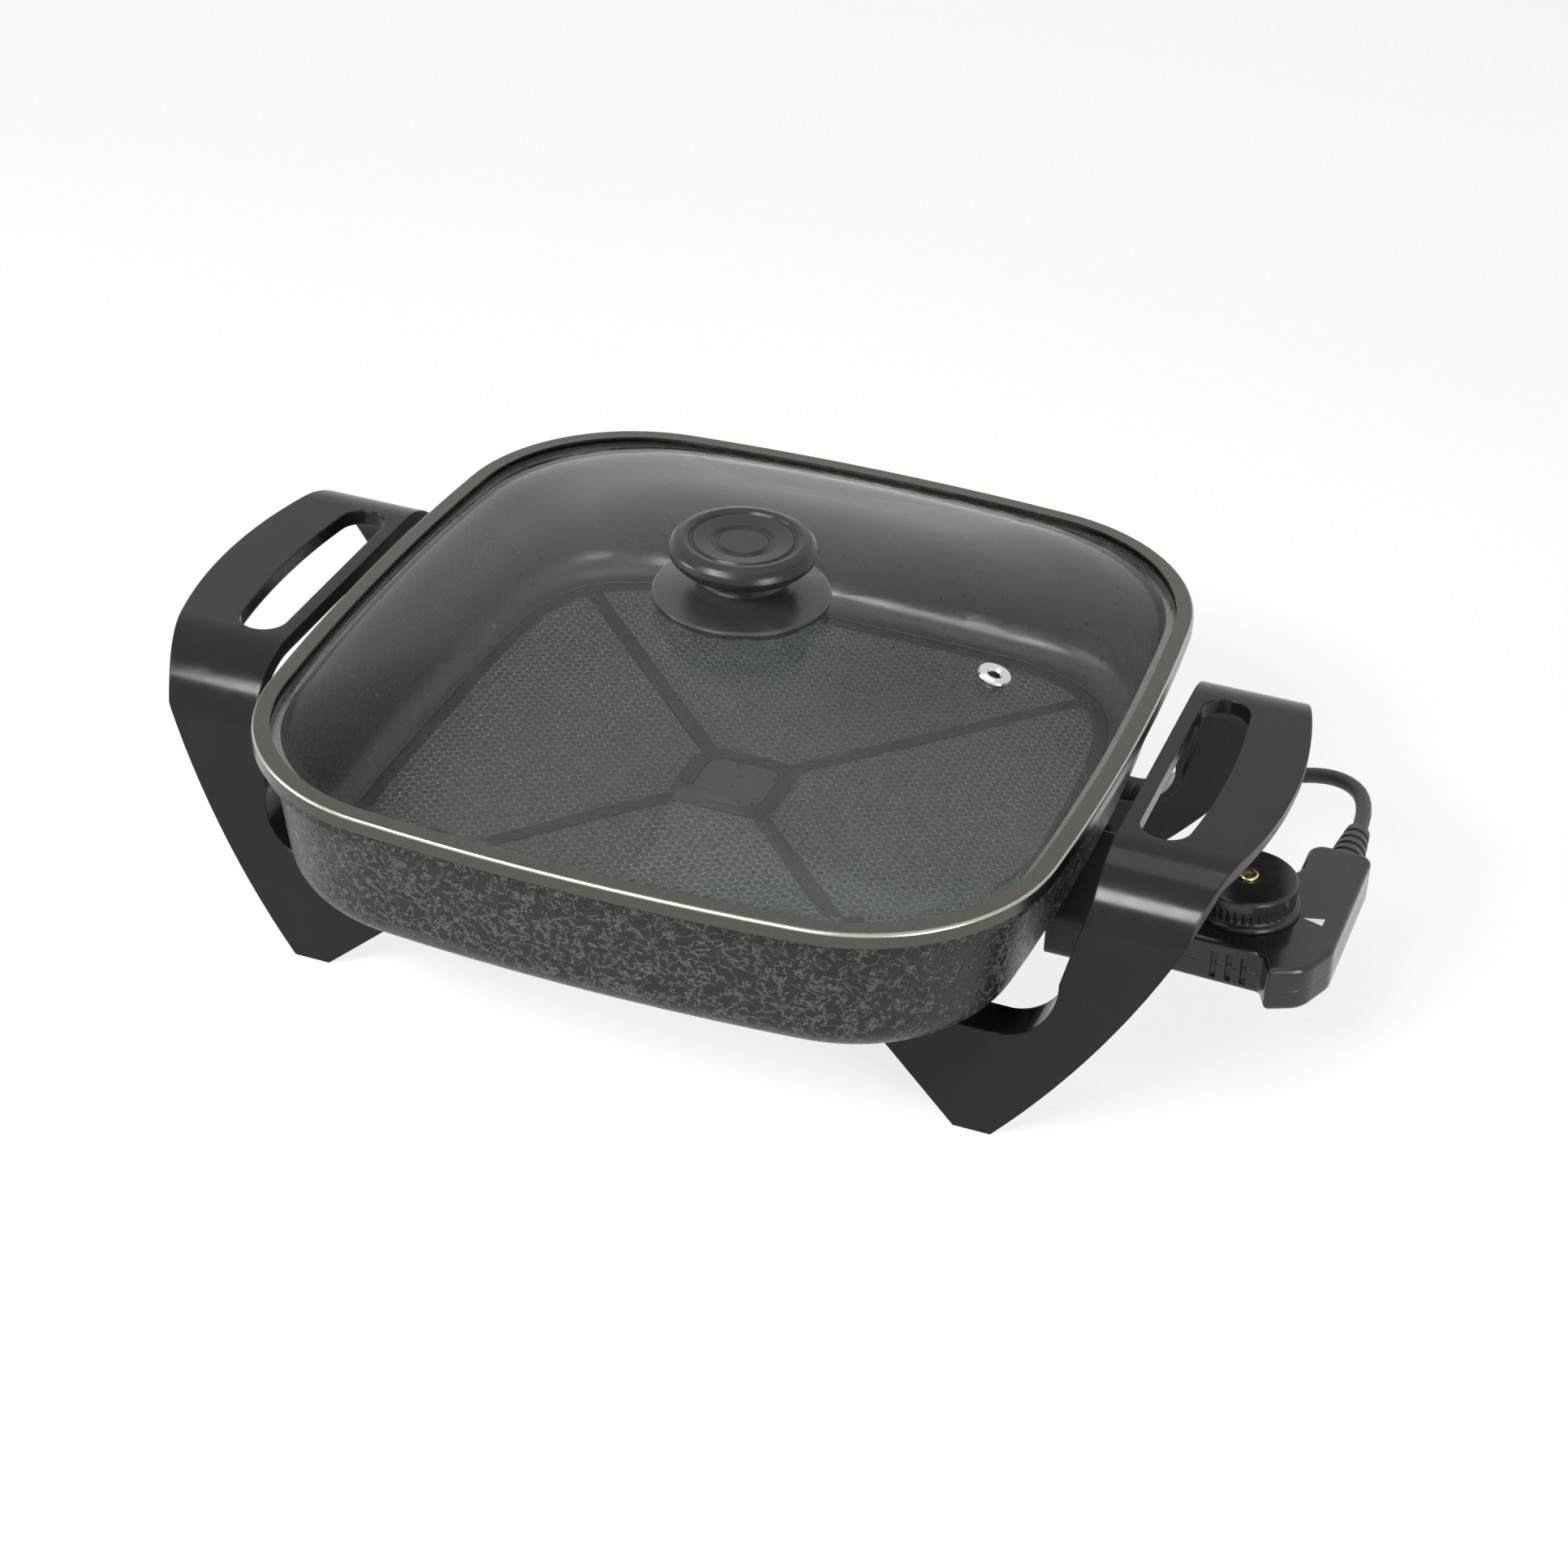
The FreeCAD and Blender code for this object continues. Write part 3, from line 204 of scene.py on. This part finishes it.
def gloss_black(name, level=0.007, rough=0.16, gloss=0.22):
    """Moulded black plastic: a soft-edged gloss with a faint flow and fine dust marks."""
    s = Shader(name)
    s.set(Specular_IOR_Level=gloss)
    s.colour(s.mix(s.noise(60, 4), grey(level * 0.75), grey(level * 1.35)))
    s.rough(s.noise(140, 5), 0.3, 0.75, rough * 0.85, rough * 1.25)
    edge = s.add("ShaderNodeBevel", samples=4)
    edge.inputs["Radius"].default_value = EDGE_RADIUS
    low = s.bump(s.noise(22, 2), 0.05, FLOW_RELIEF, edge.outputs["Normal"])
    s.bump(s.noise(900, 2), 0.02, FINE_RELIEF, low)
    return s.material


def steel(name, level=0.55, rough=0.3, warm=0.03):
    """Steel with a fine even grain."""
    s = Shader(name)
    s.set(Metallic=1.0)
    grain = s.noise(900, 3, 0.6)
    s.colour(s.mix(grain, grey(level * 0.86, warm), grey(level * 1.12, warm)))
    s.rough(grain, 0.3, 0.7, rough * 0.8, rough * 1.25)
    s.bump(grain, 0.06, FINE_RELIEF)
    return s.material


RING_DARK = (0.075, 0.07, 0.06, 1)
RING_PALE = (0.125, 0.118, 0.1, 1)
# The lightest ring colour is a painted highlight for the top edge
RING_PAINTED_HIGHLIGHT = (0.42, 0.42, 0.38, 1)


def ring_finish(name):
    """Dark brushed steel with a painted highlight: a bright colour on faces turned partly upward, along
    the top edge's roll.
    """
    s = Shader(name)
    s.set(Metallic=1.0)
    lines = s.noise(900, 3, 0.6, s.scaled(1, 1, 8))
    upward = s.facing()[2]
    # Painted highlight: faces turned partly upward get a bright colour, standing for the light caught
    # by the top edge
    painted_highlight_share = s.both(s.ramp(upward, 0.2, 0.35), s.ramp(upward, 0.93, 0.8))
    s.colour(s.mix(painted_highlight_share, s.mix(lines, RING_DARK, RING_PALE), RING_PAINTED_HIGHLIGHT))
    s.rough(lines, 0.3, 0.7, 0.18, 0.28)
    s.bump(lines, 0.05, FINE_RELIEF)
    return s.material


def rubber(name, level=0.03, rough=0.45):
    """Matt rubber or nylon with a fine tooth."""
    s = Shader(name)
    s.set(Specular_IOR_Level=0.4)
    s.colour(s.mix(s.noise(300, 4), grey(level * 0.8), grey(level * 1.3)))
    s.rough(s.noise(500, 3), 0.3, 0.7, rough * 0.9, rough * 1.2)
    s.bump(s.noise(1500, 2), 0.05, FINE_RELIEF)
    return s.material


def ceramic(name):
    """Unglazed off-white ceramic."""
    s = Shader(name)
    s.colour(s.mix(s.noise(200, 4), (0.78, 0.75, 0.68, 1), (0.88, 0.86, 0.8, 1)))
    s.rough(s.noise(400, 3), 0.3, 0.7, 0.4, 0.6)
    s.bump(s.noise(1200, 2), 0.08, FINE_RELIEF)
    return s.material


def brass(name):
    """Bright brass with darker clouds."""
    s = Shader(name)
    s.set(Metallic=1.0)
    s.colour(s.mix(s.noise(400, 3), (0.5, 0.38, 0.16, 1), (0.8, 0.68, 0.36, 1)))
    s.rough(s.noise(700, 3), 0.3, 0.7, 0.18, 0.32)
    s.bump(s.noise(1200, 2), 0.04, FINE_RELIEF)
    return s.material


def white_mark(name):
    """White inlay of the pointer mark."""
    s = Shader(name)
    s.colour(s.mix(s.noise(900, 3), (0.8, 0.8, 0.78, 1), (0.9, 0.9, 0.88, 1)))
    s.set(Roughness=0.5)
    return s.material


GLASS_TINT = (0.92, 0.94, 0.925, 1)
GLASS_SHADOW_TINT = (0.86, 0.9, 0.88, 1)


def lid_glass_finish(name):
    """Clear glass, a little green, that reflects weakly and lets light through to the pan."""
    s = Shader(name)
    s.set(Transmission_Weight=1.0, IOR=1.13, Base_Color=GLASS_TINT)
    s.rough(s.noise(30, 2), 0.3, 0.7, 0.0, 0.01)
    path = s.add("ShaderNodeLightPath")
    clear = s.add("ShaderNodeBsdfTransparent")
    clear.inputs["Color"].default_value = GLASS_SHADOW_TINT
    either = s.add("ShaderNodeMixShader")
    s.link(path.outputs["Is Shadow Ray"], either.inputs[0])
    s.link(s.shader.outputs[0], either.inputs[1])
    s.link(clear.outputs[0], either.inputs[2])
    s.link(either.outputs[0], s.nodes["Material Output"].inputs["Surface"])
    return s.material


# Pan floor pattern, in metres from the middle of the pan
HEX_PITCH = 0.0031
BAND_HALF = 0.0029
BAND_EDGE = 0.0008
BAND_SLANT = 1.38
PLATE_HALF = 0.0145
PLATE_EDGE = 0.0006
PATTERN_HALF = Vector((0.118, 0.124))
GROOVE_STEP = 0.0045
CORNER_POWER = 5.0

# Pan colours
SATIN_WARM = (0.012, 0.0125, 0.0105, 1)
SATIN_COOL = (0.013, 0.015, 0.0145, 1)
FIELD_WARM = (0.021, 0.0215, 0.019, 1)
FIELD_COOL = (0.022, 0.027, 0.0275, 1)
RIDGE = (0.085, 0.088, 0.08, 1)
WALL_DARK = (0.002, 0.002, 0.0017, 1)
WALL_MID = (0.011, 0.0105, 0.009, 1)
# Painted highlight colour for the creases of the outer wall
WALL_PAINTED_HIGHLIGHT = (0.055, 0.052, 0.043, 1)
BARE_RIM = (0.2, 0.2, 0.18, 1)


def rounded_square(s, across, along):
    """Distance-like value that is 1 on a rounded square of half size 1."""
    total = s.math("ADD", s.math("POWER", across, CORNER_POWER), s.math("POWER", along, CORNER_POWER))
    return s.math("POWER", total, 1.0 / CORNER_POWER)


def hex_ridges(s, u, v):
    """Honeycomb of thin raised lines, from three crossed waves."""
    turn = 2 * math.pi / HEX_PITCH
    waves = []
    for angle in (0, 60, 120):
        along_u = math.cos(math.radians(angle)) * turn
        along_v = math.sin(math.radians(angle)) * turn
        phase = s.math("ADD", s.both(u, along_u), s.both(v, along_v))
        waves.append(s.math("COSINE", phase))
    total = s.math("ADD", s.math("ADD", waves[0], waves[1]), waves[2])
    return s.ramp(total, -0.6, -1.35)


def field_shares(s, a, b):
    """Where the raised field is, how far out a place lies, and which part is the middle plate."""
    half_u, half_v = PATTERN_HALF
    reach = rounded_square(s, s.math("DIVIDE", a, half_u), s.math("DIVIDE", b, half_v))
    across = s.math("DIVIDE", s.math("SUBTRACT", a, s.both(b, half_u / half_v)), BAND_SLANT)
    bands = s.ramp(s.math("ABSOLUTE", across), BAND_HALF, BAND_HALF + BAND_EDGE)
    plate = rounded_square(s, a, b)
    border = s.ramp(s.away(plate, PLATE_HALF + BAND_HALF), BAND_HALF, BAND_HALF + BAND_EDGE)
    middle = s.ramp(plate, PLATE_HALF, PLATE_HALF - PLATE_EDGE)
    sector = s.math("MAXIMUM", s.both(bands, border), middle)
    return sector, reach, middle


def wall_creases(s):
    """Winding creases, where a noise on warped coordinates crosses its middle."""
    field = s.add("ShaderNodeTexNoise")
    field.inputs["Scale"].default_value = 120
    s.link(s.place, field.inputs["Vector"])
    warp = s.add("ShaderNodeVectorMath", operation="MULTIPLY_ADD")
    s.link(field.outputs["Color"], warp.inputs[0])
    warp.inputs[1].default_value = (0.006, 0.006, 0.006)
    s.link(s.place, warp.inputs[2])
    wander = s.noise(250, 3, 0.55, warp.outputs[0])
    return s.ramp(s.away(wander, 0.5), 0.05, 0.0)


def inside_share(s, u, v):
    """1 on faces that look inwards or up, 0 on the outer wall and the underside."""
    across, along, upward = s.facing()
    outward = s.math("ADD", s.both(across, u), s.both(along, v))
    turned_out = s.math("SUBTRACT", s.math("DIVIDE", outward, RIM_HALF), upward)
    return s.ramp(turned_out, 0.1, -0.1)


def pan_finish(name):
    """Dark coated casting: creased outside with a painted highlight on the creases, satin inside with a
    honeycomb floor, bare rim.
    """
    s = Shader(name)
    x, y, z = s.axes()
    u = s.math("SUBTRACT", x, PAN_MID.x)
    v = s.math("SUBTRACT", y, PAN_MID.y)
    sector, reach, middle = field_shares(s, s.math("ABSOLUTE", u), s.math("ABSOLUTE", v))
    on_floor = s.ramp(z, FLOOR_LEVEL + 0.0012, FLOOR_LEVEL + 0.0003)
    raised = s.both(s.both(s.ramp(reach, 1.0, 0.985), on_floor), sector)
    groove = s.ramp(s.away(reach, 1 + GROOVE_STEP / PATTERN_HALF.x), 0.008, 0.002)
    uneven = s.noise(900, 3, 0.6)
    patterned = s.both(raised, s.math("SUBTRACT", 1.0, middle))
    ridges = s.both(s.both(hex_ridges(s, u, v), patterned), s.ramp(uneven, 0.3, 0.6))
    inside = inside_share(s, u, v)
    creases = wall_creases(s)

    clouds = s.ramp(s.noise(9, 2), 0.35, 0.65)
    field = s.mix(raised, s.mix(clouds, SATIN_WARM, SATIN_COOL), s.mix(clouds, FIELD_WARM, FIELD_COOL))
    floor = s.mix(ridges, field, RIDGE)
    # The creases of the outer wall are coloured lighter: a painted highlight on the crinkles, over a
    # dark tone that varies at random
    wall = s.mix(creases, s.mix(s.noise(260, 4, 0.6), WALL_DARK, WALL_MID), WALL_PAINTED_HIGHLIGHT)
    bare = s.ramp(z, RIM_HEIGHT - 0.0006, RIM_HEIGHT - 0.0002)
    s.colour(s.mix(bare, s.mix(inside, wall, floor), BARE_RIM))
    s.link(bare, s.shader.inputs["Metallic"])
    s.rough(s.noise(500, 4), 0.3, 0.7, 0.26, 0.4)
    s.set(Specular_IOR_Level=0.3)

    outside = s.both(creases, s.math("SUBTRACT", 1.0, inside))
    relief = s.math("ADD", s.both(raised, 0.45), s.both(ridges, 0.35))
    relief = s.math("SUBTRACT", relief, s.both(s.both(groove, on_floor), 0.4))
    height = s.math("ADD", s.math("ADD", outside, relief), s.both(uneven, 0.06))
    s.bump(height, 0.75, 0.0009)
    return s.material


FINISHES = {
    "coated_pan": pan_finish("coated_pan_finish"),
    "element_sheath": steel("element_finish", 0.22, 0.42, 0.06),
    "white_ceramic": ceramic("ceramic_finish"),
    "pin_steel": steel("pin_finish", 0.6, 0.25),
    "guard_plastic": rubber("guard_finish", 0.012, 0.4),
    "black_phenolic": gloss_black("phenolic_finish"),
    "screw_steel": steel("screw_finish", 0.55, 0.28),
    "lid_glass": lid_glass_finish("lid_glass_finish"),
    "ring_steel": ring_finish("ring_finish"),
    "eyelet_steel": steel("eyelet_finish", 0.6, 0.2, 0.02),
    "silicone": rubber("silicone_finish", 0.12, 0.5),
    "control_plastic": gloss_black("control_finish", 0.012, 0.16, 0.4),
    "contact_brass": brass("contact_finish"),
    "white_mark": white_mark("mark_finish"),
    "dial_plastic": gloss_black("dial_finish", 0.014, 0.2, 0.4),
    "screw_brass": brass("dial_screw_finish"),
    "cord_rubber": rubber("cord_finish", 0.03, 0.42),
}

KNOB_FINISHES = {
    "knob_cap": gloss_black("knob_cap_finish", 0.01, 0.24, 0.34),
    "knob_skirt": gloss_black("knob_skirt_finish", 0.02, 0.28, 0.5),
}


def dress_nodes():
    """Give each carried-over node the finish of its slot, and the knob its duller ones."""
    slots = {part["node"]: part["material_slot"] for part in frame["record"]["subparts"]}
    for name, thing in frame["nodes"].items():
        thing.data.materials.clear()
        thing.data.materials.append(KNOB_FINISHES.get(name, FINISHES[slots[name]]))


# Cord, in millimetres from the middle of the pan

MM = 0.001
CORD_DIAMETER = 0.006
COIL_CENTRE = (-48.0, 222.0)
COIL_RADIUS = 33.5
COIL_PITCH = 6.7
TURNS_PER_LAYER = 1.5
COIL_START = math.radians(260.0)
COIL_LOW = 3.4
STEPS_PER_TURN = 20
CORD_EXIT = (220.5, 74.6, 44.0)

FREE_ROUTE = [
    CORD_EXIT,
    (220.5, 98.5, 44.0),
    (203.5, 115.5, 42.0),
    (178.0, 115.0, 34.5),
    (156.0, 112.0, 25.0),
    (131.0, 108.5, 12.5),
    (104.0, 111.5, 5.0),
    (75.0, 123.5, 3.4),
    (44.0, 146.0, 3.4),
    (13.0, 166.0, 3.4),
    (-18.0, 178.2, 3.4),
]
TAIL_ROUTE = [
    (-80.0, 189.1, 10.1),
    (-97.0, 193.0, 9.0),
    (-119.0, 200.0, 9.0),
]


def coil_route():
    """Turns of the coil: in on the lower layer, out on the upper."""
    points = []
    count = int(STEPS_PER_TURN * 2 * TURNS_PER_LAYER)
    for i in range(count + 1):
        turn = i / STEPS_PER_TURN
        radius = COIL_RADIUS + COIL_PITCH * (abs(turn - TURNS_PER_LAYER) - TURNS_PER_LAYER / 2)
        angle = COIL_START - 2 * math.pi * turn
        rise = min(max((turn - TURNS_PER_LAYER + 0.25) / 0.5, 0.0), 1.0)
        climb = rise * rise * (3 - 2 * rise)
        points.append((COIL_CENTRE[0] + radius * math.cos(angle),
                       COIL_CENTRE[1] + radius * math.sin(angle),
                       COIL_LOW + COIL_PITCH * climb))
    return points


def in_frame(point):
    """A point measured from the middle of the pan, in metres in the shared frame."""
    return Vector((point[0] * MM, point[1] * MM, point[2] * MM)) + PAN_MID


def make_cord():
    """The whole cord from the strain relief through its coil to the plug."""
    points = [in_frame(p) for p in FREE_ROUTE + coil_route() + TAIL_ROUTE]
    data = bpy.data.curves.new("power_lead", "CURVE")
    data.dimensions = "3D"
    data.bevel_depth = CORD_DIAMETER / 2
    data.bevel_resolution = 6
    data.use_fill_caps = True
    spline = data.splines.new("NURBS")
    spline.points.add(len(points) - 1)
    for slot, point in zip(spline.points, points):
        slot.co = (*point, 1)
    spline.order_u = 3
    spline.use_endpoint_u = True
    spline.resolution_u = 6
    cord = bpy.data.objects.new("power_lead", data)
    bpy.context.scene.collection.objects.link(cord)
    cord.data.materials.append(FINISHES["cord_rubber"])
    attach(cord, "control")
    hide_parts("power_cord", "cord_coil", "cord_tail")


# Studio

FLOOR_REACH = 6.0
FLOOR_COLOUR = (0.9, 0.9, 0.9, 1)
FLOOR_WHITE = 0.8
WORLD_LEVEL = 0.3
WORLD_WHITE = 1.0
WHITE = (1, 1, 1, 1)

# Name, place, aim, size in metres, watts and colour of each lamp
LAMPS = [
    ("front_box", (-0.35, -0.95, 1.0), (0, -0.1, 0.08), (0.8, 0.34), 24, (1, 1, 1)),
    ("top_box", (0.0, 0.25, 1.9), (0, 0, 0), (1.1, 0.9), 6, (1, 1, 1)),
    ("right_box", (1.15, -0.75, 0.35), (0.1, -0.1, 0.07), (0.5, 0.3), 15, (0.93, 0.96, 1.0)),
    ("left_box", (-1.2, -0.5, 0.35), (-0.1, -0.1, 0.07), (0.5, 0.3), 9, (1.0, 0.94, 0.86)),
]


def area_light(name, place, aim, size, power, colour):
    """Soft rectangular lamp turned to its aim."""
    data = bpy.data.lights.new(name, "AREA")
    data.shape = "RECTANGLE"
    data.size, data.size_y = size
    data.energy = power
    data.color = colour
    lamp = bpy.data.objects.new(name, data)
    lamp.location = place
    lamp.rotation_euler = (Vector(aim) - Vector(place)).to_track_quat("-Z", "Y").to_euler()
    bpy.context.scene.collection.objects.link(lamp)


def white_to_view(tree, lit, output, source, most):
    """Camera, glossy and transmitted rays see white, mixed over what the lamps light."""
    nodes, links = tree.nodes, tree.links
    path = nodes.new("ShaderNodeLightPath")
    white = nodes.new(source)
    white.inputs["Color"].default_value = WHITE
    white.inputs["Strength"].default_value = 1.0
    seen = path.outputs["Is Camera Ray"]
    for ray in ("Is Glossy Ray", "Is Transmission Ray"):
        more = nodes.new("ShaderNodeMath")
        more.operation = "MAXIMUM"
        links.new(seen, more.inputs[0])
        links.new(path.outputs[ray], more.inputs[1])
        seen = more.outputs[0]
    share = nodes.new("ShaderNodeMath")
    share.operation = "MULTIPLY"
    share.inputs[1].default_value = most
    links.new(seen, share.inputs[0])
    both = nodes.new("ShaderNodeMixShader")
    links.new(share.outputs[0], both.inputs[0])
    links.new(lit, both.inputs[1])
    links.new(white.outputs[0], both.inputs[2])
    links.new(both.outputs[0], nodes[output].inputs["Surface"])


def make_floor():
    """Pale floor that keeps a faint shadow of the object."""
    mesh = bpy.data.meshes.new("studio_floor")
    sheet = bmesh.new()
    bmesh.ops.create_grid(sheet, x_segments=1, y_segments=1, size=FLOOR_REACH)
    sheet.to_mesh(mesh)
    sheet.free()
    floor = bpy.data.objects.new("studio_floor", mesh)
    bpy.context.scene.collection.objects.link(floor)
    s = Shader("studio_floor_finish")
    s.set(Base_Color=FLOOR_COLOUR, Roughness=0.9, Specular_IOR_Level=0.0)
    white_to_view(s.material.node_tree, s.shader.outputs[0], "Material Output",
                  "ShaderNodeEmission", FLOOR_WHITE)
    floor.data.materials.append(s.material)


def make_world():
    """White surroundings that light the object evenly."""
    world = bpy.data.worlds.new("studio_world")
    world.use_nodes = True
    fill = world.node_tree.nodes["Background"]
    fill.inputs["Color"].default_value = WHITE
    fill.inputs["Strength"].default_value = WORLD_LEVEL
    white_to_view(world.node_tree, fill.outputs[0], "World Output", "ShaderNodeBackground", WORLD_WHITE)
    bpy.context.scene.world = world


def make_studio():
    make_floor()
    make_world()
    for lamp in LAMPS:
        area_light(*lamp)
    bpy.context.scene.view_settings.view_transform = "Standard"


make_camera()
make_cord()
dress_nodes()
make_studio()
